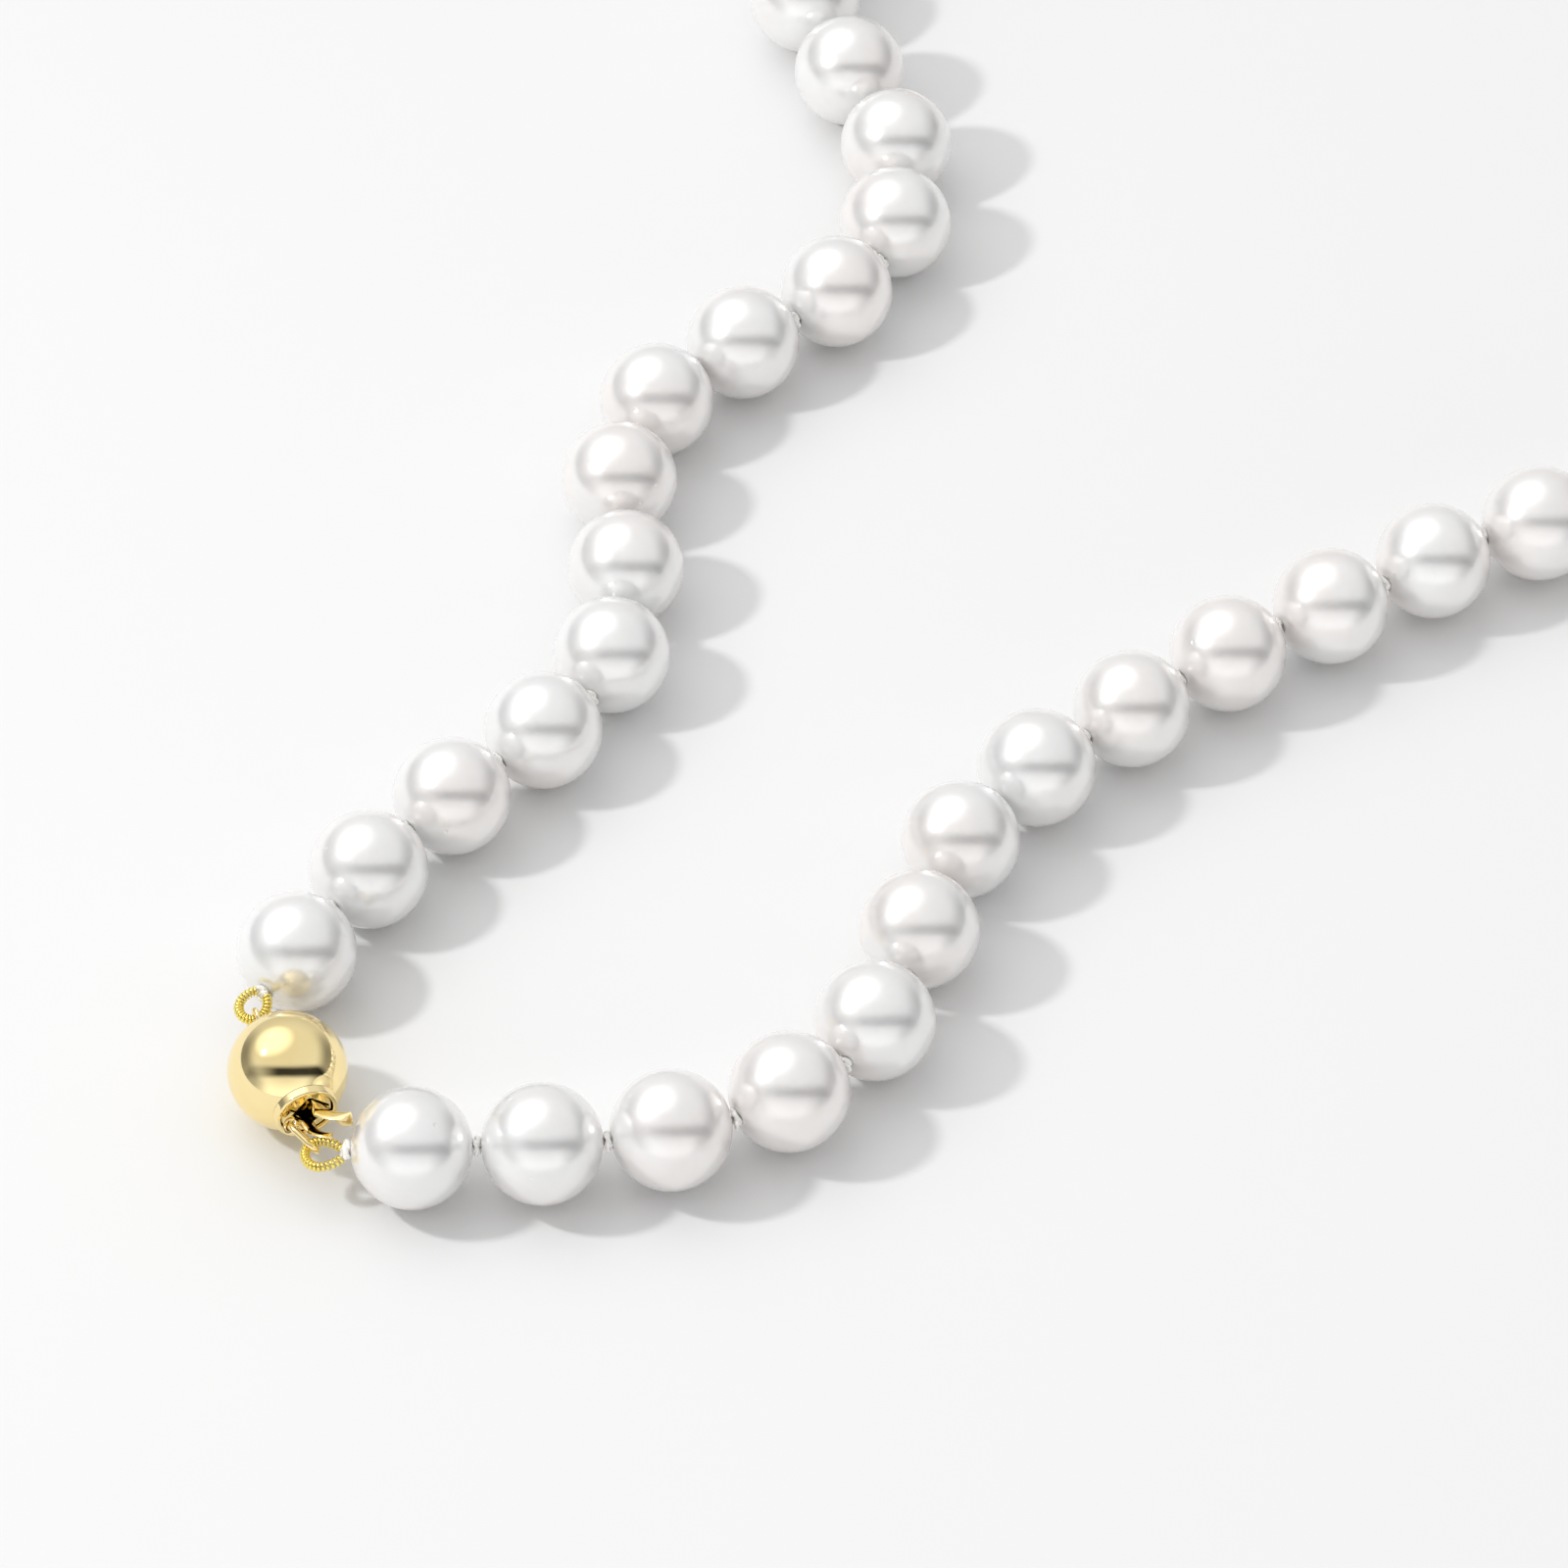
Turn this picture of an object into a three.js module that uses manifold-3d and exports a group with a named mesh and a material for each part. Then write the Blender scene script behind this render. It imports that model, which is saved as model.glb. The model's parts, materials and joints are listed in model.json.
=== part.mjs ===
// A knotted pearl necklace with a gold ball clasp, laid open on a flat surface.
// Millimetres, +Z up. The strand rests on Z = 0 and the origin is the middle of its
// footprint. Pearls are numbered from the clasp along each half of the strand.

import * as THREE from "three";
import { mergeVertices } from "three/addons/utils/BufferGeometryUtils.js";
import Module from "manifold-3d";

const wasm = await Module();
wasm.setup();

// ---------------------------------------------------------------- driving dimensions

const PEARL_RADIUS = 4.1;
const PEARL_COUNT = 50;
const DRILL_RADIUS = 0.5;
const THREAD_RADIUS = 0.3;
const KNOT_RADIUS = 0.6;

const BALL_RADIUS = 4.05;
const BALL_WALL = 0.5;
const BALL_MOUTH_RADIUS = 2.15;
const COLLAR_OUTER = 2.2;
const COLLAR_INNER = 1.85;
const COLLAR_NECK_OUTER = 2.05;
const PLATE_RADIUS = 1.75;
const GAP = 0.1; // clearance between neighbouring clasp pieces

const LEAF_THICKNESS = 0.3;
const RING_WIRE_RADIUS = 0.2;
const EYE_WIRE_RADIUS = 0.18;
const EYE_RADIUS = 0.62;
const FRENCH_WIRE_RADIUS = 0.36;
const FRENCH_LOOP_RADIUS = 0.93;

const CLASP_HEADING = THREE.MathUtils.degToRad(-68.5); // the way the tongue pulls out
const TONGUE_ROLL = THREE.MathUtils.degToRad(46); // the tongue's turn about the clasp axis

const PEARL_SIDES = 10;
const PEARL_STEPS = 6;
const BALL_SIDES = 20;
const COLLAR_SIDES = 24;
const WIRE_SIDES = 8;
const THREAD_SIDES = 6;

// The strand's route, from the left end's knot by the clasp round to the right end's. The
// clasp ball's centre is (0, 0). The near stretches lie in loose bends, and the far side
// is one round sweep.
const NEAR_LEFT = [
  [-2, 6.6], [0, 10.2], [5, 18.1], [10.4, 24.9], [17.1, 30.5], [22.2, 37.6], [22.2, 46],
  [20.7, 54.6], [23.5, 62.8], [30, 68], [37.4, 72.5], [42, 80.2], [42.2, 88.6],
  [38.1, 96.8], [33.6, 104.6],
];
const NEAR_RIGHT = [
  [86.6, 51.2], [79.4, 46], [71.5, 42], [64.1, 37.6], [57.4, 32.2], [50.7, 26.9],
  [44.7, 21.2], [42.6, 12.7], [39.9, 4], [34, -2.1], [26, -5.4], [17.4, -6.3],
  [8.5, -6.6], [4.2, -6.8],
];
const SWEEP_CENTRE = [79.7, 97];
const SWEEP_RADIUS = 47.2;
const SWEEP_START = 150; // degrees
const SWEEP_END = -75;
const SWEEP_STEP = 25;

// ---------------------------------------------------------------- shape helpers

/** The position-only geometry that solids are made from, with shared vertices merged. */
function plain(geometry) {
  const copy = geometry.clone();
  copy.deleteAttribute("normal");
  copy.deleteAttribute("uv");
  return mergeVertices(copy, 1e-5);
}

function toSolid(geometry) {
  const merged = plain(geometry);
  const vertProperties = new Float32Array(merged.attributes.position.array);
  const triVerts = new Uint32Array(merged.index.array);
  return new wasm.Manifold(new wasm.Mesh({ numProp: 3, vertProperties, triVerts }));
}

function toGeometry(solid) {
  const mesh = solid.getMesh();
  const geometry = new THREE.BufferGeometry();
  geometry.setAttribute("position", new THREE.BufferAttribute(mesh.vertProperties, 3));
  geometry.setIndex(new THREE.BufferAttribute(mesh.triVerts, 1));
  return geometry;
}

/** A closed outline turned about the local X axis; points are [x, radius]. */
function turned(outline, sides) {
  const profile = outline.map(([x, radius]) => new THREE.Vector2(radius, x));
  return new THREE.LatheGeometry(profile, sides).rotateZ(-Math.PI / 2);
}

/** Points [x, radius] along an arc about the origin, from one polar angle to another. */
function arc(radius, from, to, steps) {
  return Array.from({ length: steps + 1 }, (_, i) => {
    const angle = from + ((to - from) * i) / steps;
    return [radius * Math.cos(angle), Math.max(0, radius * Math.sin(angle))];
  });
}

/**
 * A round bar along a list of points, with its own radius at each point. The bar's
 * sections stand on the given up direction. A closed bar joins its last point to its first.
 */
function bar(points, radiusAt, sides, up, closed) {
  const count = points.length;
  const positions = [];
  const index = [];
  points.forEach((point, i) => {
    const before = points[closed ? (i + count - 1) % count : Math.max(i - 1, 0)];
    const after = points[closed ? (i + 1) % count : Math.min(i + 1, count - 1)];
    const along = after.clone().sub(before).normalize();
    const side = up.clone().cross(along).normalize();
    const lift = along.clone().cross(side);
    for (let k = 0; k < sides; k += 1) {
      const angle = (2 * Math.PI * k) / sides;
      const vertex = point.clone();
      vertex.addScaledVector(side, radiusAt(i) * Math.cos(angle));
      vertex.addScaledVector(lift, radiusAt(i) * Math.sin(angle));
      positions.push(...vertex);
    }
  });
  for (let i = 0; i < (closed ? count : count - 1); i += 1) {
    const here = i * sides;
    const next = ((i + 1) % count) * sides;
    for (let k = 0; k < sides; k += 1) {
      const turn = (k + 1) % sides;
      index.push(here + k, here + turn, next + turn);
      index.push(here + k, next + turn, next + k);
    }
  }
  if (!closed) {
    const last = (count - 1) * sides;
    for (let k = 1; k < sides - 1; k += 1) {
      index.push(0, k + 1, k);
      index.push(last, last + k, last + k + 1);
    }
  }
  const geometry = new THREE.BufferGeometry();
  geometry.setAttribute("position", new THREE.Float32BufferAttribute(positions, 3));
  geometry.setIndex(index);
  return geometry;
}

/** A closed wire loop in the local XY plane: two straights of one length and round ends. */
function wireLoop(length, radius, wireRadius, steps) {
  const points = [];
  for (const end of [1, -1]) {
    for (let i = 0; i <= steps; i += 1) {
      const angle = -Math.PI / 2 + (Math.PI * i) / steps;
      points.push(
        new THREE.Vector3(
          end * (length / 2 + radius * Math.cos(angle)),
          end * radius * Math.sin(angle),
          0,
        ),
      );
    }
  }
  return bar(points, () => wireRadius, WIRE_SIDES, new THREE.Vector3(0, 0, 1), true);
}

// ---------------------------------------------------------------- materials

function finish(color, roughness, metalness) {
  return new THREE.MeshStandardMaterial({ color, roughness, metalness });
}

const nacre = finish(0xf1eeeb, 0.22, 0);
const polishedGold = finish(0xe8c377, 0.12, 1);
const bulletGold = finish(0xd9c33a, 0.3, 1);
const silk = finish(0xf3f1ea, 0.8, 0);

const necklace = new THREE.Group();
necklace.name = "pearl_necklace";

function addPiece(parent, name, geometry, material) {
  const mesh = new THREE.Mesh(geometry, material);
  mesh.name = name;
  parent.add(mesh);
  return mesh;
}

// ---------------------------------------------------------------- the strand

/** The route as one smooth curve, finely divided. */
function strandRoute() {
  const sweep = [];
  for (let angle = SWEEP_START; angle >= SWEEP_END; angle -= SWEEP_STEP) {
    const turn = THREE.MathUtils.degToRad(angle);
    sweep.push([
      SWEEP_CENTRE[0] + SWEEP_RADIUS * Math.cos(turn),
      SWEEP_CENTRE[1] + SWEEP_RADIUS * Math.sin(turn),
    ]);
  }
  const points = [...NEAR_LEFT, ...sweep, ...NEAR_RIGHT];
  const curve = new THREE.CatmullRomCurve3(
    points.map(([x, y]) => new THREE.Vector3(x, y, PEARL_RADIUS)),
    false,
    "centripetal",
  );
  return curve.getSpacedPoints(PEARL_COUNT * 80);
}

/** Knots stepped along the route at one spacing, up to one more than the pearls. */
function stepAlong(route, spacing) {
  const knots = [route[0]];
  for (let i = 1; i < route.length && knots.length <= PEARL_COUNT; i += 1) {
    const last = knots.at(-1);
    const far = route[i].distanceTo(last);
    if (far >= spacing) {
      const near = route[i - 1].distanceTo(last);
      knots.push(route[i - 1].clone().lerp(route[i], (spacing - near) / (far - near)));
    }
  }
  return knots;
}

/** The knots at the widest spacing that still fits every pearl on the route. */
function spreadKnots(route) {
  let low = 2 * PEARL_RADIUS;
  let high = 2.5 * PEARL_RADIUS;
  for (let i = 0; i < 40; i += 1) {
    const middle = (low + high) / 2;
    if (stepAlong(route, middle).length > PEARL_COUNT) {
      low = middle;
    } else {
      high = middle;
    }
  }
  return stepAlong(route, low);
}

// Each pearl is centred between two knots, with its drill hole in line with them.
const knots = spreadKnots(strandRoute());
const centres = knots.slice(1).map((knot, i) => knot.clone().add(knots[i]).multiplyScalar(0.5));
const axes = knots.slice(1).map((knot, i) => knot.clone().sub(knots[i]).normalize());

const CLASP_CENTRE = new THREE.Vector3(0, 0, BALL_RADIUS);

const clasp = new THREE.Group();
clasp.position.copy(CLASP_CENTRE);
clasp.rotation.z = CLASP_HEADING;
necklace.add(clasp);
clasp.updateMatrixWorld();

// Where each French wire loop's middle sits, in the clasp's frame.
const LEFT_LOOP = new THREE.Vector3(-5.9, -0.45, 0.15);
const RIGHT_LOOP = new THREE.Vector3(7.15, -0.3, -0.45);

function pearlGeometry() {
  const rim = Math.asin(DRILL_RADIUS / PEARL_RADIUS);
  const outline = arc(PEARL_RADIUS, Math.PI - rim, rim, PEARL_STEPS);
  return turned([...outline, outline[0]], PEARL_SIDES);
}

function pearlName(i) {
  const half = PEARL_COUNT / 2;
  const left = i < half;
  const number = left ? i + 1 : PEARL_COUNT - i;
  return `pearl_${left ? "left" : "right"}_${String(number).padStart(2, "0")}`;
}

function addPearls() {
  const geometry = pearlGeometry();
  centres.forEach((centre, i) => {
    const pearl = addPiece(necklace, pearlName(i), geometry, nacre);
    pearl.position.copy(centre);
    pearl.rotation.z = Math.atan2(axes[i].y, axes[i].x);
  });
}

/** One silk thread through every pearl, with a knot in each gap. */
function addSilk() {
  const reach = Math.sqrt(PEARL_RADIUS ** 2 - DRILL_RADIUS ** 2);
  const points = [knots[0]];
  const radii = [THREAD_RADIUS];
  for (let i = 0; i < PEARL_COUNT; i += 1) {
    points.push(centres[i].clone().addScaledVector(axes[i], -reach));
    points.push(centres[i].clone().addScaledVector(axes[i], reach));
    points.push(knots[i + 1]);
    radii.push(THREAD_RADIUS, THREAD_RADIUS, i < PEARL_COUNT - 1 ? KNOT_RADIUS : THREAD_RADIUS);
  }
  const up = new THREE.Vector3(0, 0, 1);
  addPiece(necklace, "silk_cord", bar(points, (i) => radii[i], THREAD_SIDES, up, false), silk);
}

// ---------------------------------------------------------------- the clasp
// In the clasp's frame the ball's centre is the origin and +X is the way the tongue
// pulls out.

const MOUTH_X = Math.sqrt(BALL_RADIUS ** 2 - BALL_MOUTH_RADIUS ** 2);

/** A hollow ball, open where the collar sits. */
function addBallShell() {
  const inner = BALL_RADIUS - BALL_WALL;
  const outerRim = Math.asin(BALL_MOUTH_RADIUS / BALL_RADIUS);
  const innerRim = Math.asin(BALL_MOUTH_RADIUS / inner);
  const outline = [
    ...arc(BALL_RADIUS, Math.PI, outerRim, 10),
    ...arc(inner, innerRim, Math.PI, 8),
  ];
  addPiece(clasp, "clasp_ball_shell", turned(outline, BALL_SIDES), polishedGold);
}

const FLANGE_X = MOUTH_X + GAP;
const FLANGE_THICKNESS = 0.5;
const RIM_X = FLANGE_X + FLANGE_THICKNESS;
const NECK_DEPTH = 0.8;

/** The raised collar: a flange over the ball's mouth and a neck that goes into it. */
function addCollar() {
  const ROUNDING = 0.1;
  const outline = [
    [FLANGE_X, COLLAR_OUTER],
    [RIM_X - ROUNDING, COLLAR_OUTER],
    [RIM_X, COLLAR_OUTER - ROUNDING],
    [RIM_X, COLLAR_INNER],
    [FLANGE_X - NECK_DEPTH, COLLAR_INNER],
    [FLANGE_X - NECK_DEPTH, COLLAR_NECK_OUTER],
    [FLANGE_X, COLLAR_NECK_OUTER],
  ];
  const closed = [...outline, outline[0]];
  addPiece(clasp, "clasp_collar", turned(closed, COLLAR_SIDES), polishedGold);
}

const tongue = new THREE.Group();
tongue.rotation.x = TONGUE_ROLL;
clasp.add(tongue);

const PLATE_RECESS = 0.2; // below the collar's rim
const PLATE_FRONT = RIM_X - PLATE_RECESS;
const PLATE_THICKNESS = 0.25;
const WINDOW_HEIGHT = 2.4; // across the two leaves
const WINDOW_WIDTH = 2.0; // along the leaves' width
const WINDOW_SHIFT = -0.2;

/** The recessed end plate, a disc with the window that the tongue goes through. */
function addSlotPlate() {
  const disc = new THREE.Shape().absarc(0, 0, PLATE_RADIUS, 0, 2 * Math.PI);
  const low = WINDOW_SHIFT - WINDOW_WIDTH / 2;
  const high = WINDOW_SHIFT + WINDOW_WIDTH / 2;
  const half = WINDOW_HEIGHT / 2;
  const opening = new THREE.Path();
  opening.moveTo(-half, low);
  opening.lineTo(half, low);
  opening.lineTo(half, high);
  opening.lineTo(-half, high);
  opening.closePath();
  disc.holes.push(opening);
  const settings = { depth: PLATE_THICKNESS, bevelEnabled: false, curveSegments: 12 };
  const plate = new THREE.ExtrudeGeometry(disc, settings);
  plate.rotateX(Math.PI / 2).rotateZ(Math.PI / 2);
  plate.translate(PLATE_FRONT - PLATE_THICKNESS, 0, 0);
  addPiece(tongue, "clasp_slot_plate", plate, polishedGold);
}

const FOLD_X = -2.3;
const FOLD_MIDDLE = -0.15;
const FOLD_RADIUS = 0.3; // to the middle of the strip
const FIXED_Y = FOLD_MIDDLE - FOLD_RADIUS;
const SPRING_Y = FOLD_MIDDLE + FOLD_RADIUS;
const LEAF_WIDTH = 1.6;
const LEAF_LOW = WINDOW_SHIFT - LEAF_WIDTH / 2;
const LEAF_HIGH = WINDOW_SHIFT + LEAF_WIDTH / 2;
const PETAL_START = 4.0;
const BEND_STEPS = 6;

// Each petal's plan, and the middle line of its bend: where it starts, is pulled to, and ends.
const FIXED_PETAL = {
  centre: 5.3,
  length: 1.0,
  halfWidth: 0.7,
  shift: -0.55,
  bend: [[PETAL_START, FIXED_Y], [5.25, FIXED_Y], [6.35, 0.8]],
};
const THUMB_PETAL = {
  centre: 5.5,
  length: 1.15,
  halfWidth: 1.05,
  shift: -0.05,
  bend: [[3.9, 1.01], [5.4, 1.5], [6.67, 3.12]],
};
const SPRING_KNEE = [3.0, 0.86];

const LUG_HOLE = new THREE.Vector3(4.65, -0.85, 1.05);
const LUG_HOLE_RADIUS = 0.36;
const LUG_RADIUS = 0.62;
const LUG_THICKNESS = 0.4;
const ARM_WIDTH = 0.5;
const ARM_X = 4.3;

/** A side outline in XY given some width along Z, kept where a plan outline in XZ allows. */
function leafSolid(side, plan) {
  const DEPTH = 8;
  const settings = { depth: DEPTH, bevelEnabled: false, curveSegments: 6 };
  const sideSolid = new THREE.ExtrudeGeometry(side, settings).translate(0, 0, -DEPTH / 2);
  const planSolid = new THREE.ExtrudeGeometry(plan, settings);
  planSolid.rotateX(Math.PI / 2).translate(0, DEPTH / 2, 0);
  return toSolid(sideSolid).intersect(toSolid(planSolid));
}

/** A leaf's plan: a straight strip that ends in a rounded petal. */
function leafPlan(start, petal) {
  const { centre, length, halfWidth, shift } = petal;
  const plan = new THREE.Shape();
  plan.moveTo(start, LEAF_LOW);
  plan.lineTo(PETAL_START, LEAF_LOW);
  plan.lineTo(centre, shift - halfWidth);
  plan.absellipse(centre, shift, length, halfWidth, -Math.PI / 2, Math.PI / 2);
  plan.lineTo(PETAL_START, LEAF_HIGH);
  plan.lineTo(start, LEAF_HIGH);
  plan.closePath();
  return plan;
}

/** A petal's bend as points along its middle line. */
function bendLine(petal) {
  const points = petal.bend.map(([x, y]) => new THREE.Vector2(x, y));
  return new THREE.QuadraticBezierCurve(...points).getPoints(BEND_STEPS);
}

/** A strip's side outline: its middle line with half of its thickness on each side. */
function stripSide(line) {
  const edge = (away) =>
    line.map((point, i) => {
      const before = line[Math.max(i - 1, 0)];
      const after = line[Math.min(i + 1, line.length - 1)];
      const along = after.clone().sub(before).normalize();
      return new THREE.Vector2(point.x - away * along.y, point.y + away * along.x);
    });
  const half = LEAF_THICKNESS / 2;
  return new THREE.Shape([...edge(half), ...edge(-half).reverse()]);
}

/** The fixed leaf: the fold at its inner end, a petal outside, and a lug for the ring. */
function addTongueBody() {
  const FOLD_STEPS = 8;
  const fold = Array.from({ length: FOLD_STEPS + 1 }, (_, i) => {
    const angle = Math.PI / 2 + (Math.PI * i) / FOLD_STEPS;
    return new THREE.Vector2(
      FOLD_X + FOLD_RADIUS * Math.cos(angle),
      FOLD_MIDDLE + FOLD_RADIUS * Math.sin(angle),
    );
  });
  const side = stripSide([...fold, ...bendLine(FIXED_PETAL)]);
  const strip = leafSolid(side, leafPlan(FOLD_X - 1, FIXED_PETAL));

  const lugShape = new THREE.Shape();
  lugShape.absarc(LUG_HOLE.x, LUG_HOLE.y, LUG_RADIUS, 0, 2 * Math.PI);
  const hole = new THREE.Path().absarc(LUG_HOLE.x, LUG_HOLE.y, LUG_HOLE_RADIUS, 0, 2 * Math.PI);
  lugShape.holes.push(hole);
  const lugSettings = { depth: LUG_THICKNESS, bevelEnabled: false, curveSegments: 6 };
  const lug = new THREE.ExtrudeGeometry(lugShape, lugSettings);
  lug.translate(0, 0, LUG_HOLE.z - LUG_THICKNESS / 2);

  const armLength = LUG_HOLE.z + LUG_THICKNESS / 2 - WINDOW_SHIFT;
  const arm = new THREE.BoxGeometry(ARM_WIDTH, LEAF_THICKNESS, armLength);
  arm.translate(ARM_X, FIXED_Y, WINDOW_SHIFT + armLength / 2);
  const whole = strip.add(toSolid(arm)).add(toSolid(lug));
  addPiece(tongue, "tongue_body", toGeometry(whole), polishedGold);
}

/** The spring leaf: it rises from the fold through the window and flares as a thumb tab. */
function addSpringLeaf() {
  const start = FOLD_X + GAP;
  const rise = [[start, SPRING_Y], SPRING_KNEE].map(([x, y]) => new THREE.Vector2(x, y));
  const side = stripSide([...rise, ...bendLine(THUMB_PETAL)]);
  const solid = leafSolid(side, leafPlan(start - GAP / 2, THUMB_PETAL));
  addPiece(tongue, "tongue_spring_leaf", toGeometry(solid), polishedGold);
}

/** A mesh turned so that its local X runs along a direction and its local Z along another. */
function aim(mesh, along, normal) {
  const x = along.clone().normalize();
  const z = normal.clone().addScaledVector(x, -normal.dot(x)).normalize();
  const y = z.clone().cross(x);
  mesh.quaternion.setFromRotationMatrix(new THREE.Matrix4().makeBasis(x, y, z));
}

/** The long wire ring that hangs in the lug and holds the right French wire. */
function addTongueRing() {
  const HALF_WIDTH = 0.72;
  tongue.updateMatrix();
  const inLug = LUG_HOLE.clone().applyMatrix4(tongue.matrix);
  const inLoop = RIGHT_LOOP.clone();
  inLoop.x += RING_WIRE_RADIUS + FRENCH_WIRE_RADIUS + GAP - FRENCH_LOOP_RADIUS;
  const along = inLoop.clone().sub(inLug);
  const length = along.length() - 2 * HALF_WIDTH;
  const ring = addPiece(
    clasp,
    "tongue_ring",
    wireLoop(length, HALF_WIDTH, RING_WIRE_RADIUS, 6),
    polishedGold,
  );
  ring.position.copy(inLug.clone().add(inLoop).multiplyScalar(0.5));
  aim(ring, along, new THREE.Vector3(0, 1, 0.45));
}

/** The fixed eye behind the ball, a small upright wire ring. */
function addRearEye() {
  const eye = addPiece(
    clasp,
    "clasp_rear_eye",
    new THREE.TorusGeometry(EYE_RADIUS, EYE_WIRE_RADIUS, WIRE_SIDES, 14),
    polishedGold,
  );
  eye.rotation.x = Math.PI / 2;
  eye.position.set(LEFT_LOOP.x + FRENCH_LOOP_RADIUS, LEFT_LOOP.y, 0);
}

/** A loop of French wire: the fine coil that sleeves the silk, as one round ring. */
function addFrenchWire(name, place) {
  const LOOP_TILT = THREE.MathUtils.degToRad(12);
  const loop = addPiece(
    necklace,
    name,
    new THREE.TorusGeometry(FRENCH_LOOP_RADIUS, FRENCH_WIRE_RADIUS, WIRE_SIDES, 16),
    bulletGold,
  );
  loop.position.copy(clasp.localToWorld(place.clone()));
  loop.rotation.x = LOOP_TILT;
}

addBallShell();
addCollar();
addSlotPlate();
addTongueBody();
addSpringLeaf();
addTongueRing();
addRearEye();
addFrenchWire("french_wire_left", LEFT_LOOP);
addFrenchWire("french_wire_right", RIGHT_LOOP);
addPearls();
addSilk();

// The origin is the middle of the footprint.
necklace.updateMatrixWorld(true);
const middle = new THREE.Box3().setFromObject(necklace, true).getCenter(new THREE.Vector3());
necklace.position.set(-middle.x, -middle.y, 0);
necklace.updateMatrixWorld(true);

export default necklace;
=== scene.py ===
"""A knotted pearl necklace with a gold ball clasp, laid on a pale surface.

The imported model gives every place: pearls sit between the strand's knots, which are its joints,
and the clasp's pieces are built in the clasp's own frame, which its slide joint gives.
Lengths in the builders below are in millimetres and are turned to metres at the end.
"""

import json
import math
import random

import bpy
import numpy as np
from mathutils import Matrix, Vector, noise


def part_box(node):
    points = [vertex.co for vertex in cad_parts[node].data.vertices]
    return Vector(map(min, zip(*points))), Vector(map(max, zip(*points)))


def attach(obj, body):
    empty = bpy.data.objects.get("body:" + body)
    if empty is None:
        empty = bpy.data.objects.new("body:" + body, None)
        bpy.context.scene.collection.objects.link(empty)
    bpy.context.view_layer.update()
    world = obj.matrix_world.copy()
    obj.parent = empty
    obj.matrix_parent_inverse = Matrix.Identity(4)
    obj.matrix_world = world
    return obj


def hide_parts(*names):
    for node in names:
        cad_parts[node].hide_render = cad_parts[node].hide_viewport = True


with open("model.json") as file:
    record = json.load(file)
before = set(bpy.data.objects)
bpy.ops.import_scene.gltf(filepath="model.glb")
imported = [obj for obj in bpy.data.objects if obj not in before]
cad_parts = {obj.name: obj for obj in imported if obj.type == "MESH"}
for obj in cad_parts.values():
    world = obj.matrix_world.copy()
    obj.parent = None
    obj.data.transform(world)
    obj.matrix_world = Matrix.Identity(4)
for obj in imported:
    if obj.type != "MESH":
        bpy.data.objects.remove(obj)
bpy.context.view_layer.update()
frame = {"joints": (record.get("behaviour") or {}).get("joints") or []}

MM = 0.001
Z = np.array([0.0, 0.0, 1.0])

# ---------------------------------------------------------------- dimensions, mm

PEARL_RADIUS = 4.1
PEARL_SIDES = 96
PEARL_ROWS = 58
DRILL_RADIUS = 0.42
DRILL_CHAMFER = 0.06
PEARLS_PER_SIDE = 25
SKIN_WOBBLE = 0.0035  # of the radius
WOBBLE_SCALE = 1.3

THREAD_RADIUS = 0.24
THREAD_GRIPPED = 0.06
THREAD_STEPS = 64
CORE_RADIUS = 0.17
SILK_SIDES = 12
PLY_DEPTH = 0.10  # of the strand's radius
KNOT_RING = 0.42
KNOT_LOBE = 0.17
KNOT_FLAT = 0.125
KNOT_STRAND = 0.15
KNOT_STEPS = 84
KNOT_ROLL = 6.28  # radians

BALL_RADIUS = 4.05
BALL_WALL = 0.5
LIP_SOFT = 0.06
MOUTH_RADIUS = 2.15
FLANGE_X = 3.532
RIM_X = 4.032
TURNED_SIDES = 128
COLLAR_OUTER = 2.2
COLLAR_INNER = 1.85
COLLAR_NECK = 2.05
COLLAR_SKIRT = 0.09
COLLAR_OUTER_SOFT = 0.16
COLLAR_INNER_SOFT = 0.09
NECK_DEPTH = 0.8
PLATE_RADIUS = 1.75
PLATE_RECESS = 0.2
PLATE_THICKNESS = 0.25
PLATE_BEVEL = 0.04
WINDOW_HEIGHT = 2.4
WINDOW_WIDTH = 2.0
WINDOW_SHIFT = -0.2
WINDOW_SQUARENESS = 14.0

LEAF_THICKNESS = 0.3
LEAF_HALF_WIDTH = 0.8
FOLD_X = -2.3
FOLD_MIDDLE = -0.15
FOLD_LINE_RADIUS = 0.3
FIXED_HEIGHT = FOLD_MIDDLE - FOLD_LINE_RADIUS
TIP_THINNING = 0.45
PETAL_START = 4.0
LUG_HOLE = np.array([4.65, -0.85, 1.05])
LUG_HOLE_RADIUS = 0.36
LUG_RADIUS = 0.62
LUG_HALF_THICKNESS = 0.2
LUG_SOFT = 0.07
ARM_X = 4.3
ARM_HALF_WIDTH = 0.25
ARM_THICKNESS = 0.26
ARM_STEPS = 12

# Each petal's plan: its middle, how far it reaches past that, half its width, and its shift.
FIXED_PLAN = (5.3, 1.06, 0.7, -0.55)
FIXED_CUP = -0.34
FIXED_TIP = (6.35, 0.8)
THUMB_PLAN = (5.3, 1.42, 1.2, -0.05)
THUMB_CUP = -0.62
SPRING_START = (-2.2, 0.15)
SPRING_WINDOW = (3.9, 1.01)
THUMB_TIP = (6.67, 3.12)

RING_WIRE = 0.2
RING_HALF_WIDTH = 0.72
EYE_WIRE = 0.18
EYE_RADIUS = 0.62
FOOT_RADIUS = 0.16
FOOT_FLARE = 0.26
WIRE_SIDES = 20
LOOP_GAP = 0.1  # between the ring's wire and the French wire

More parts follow.
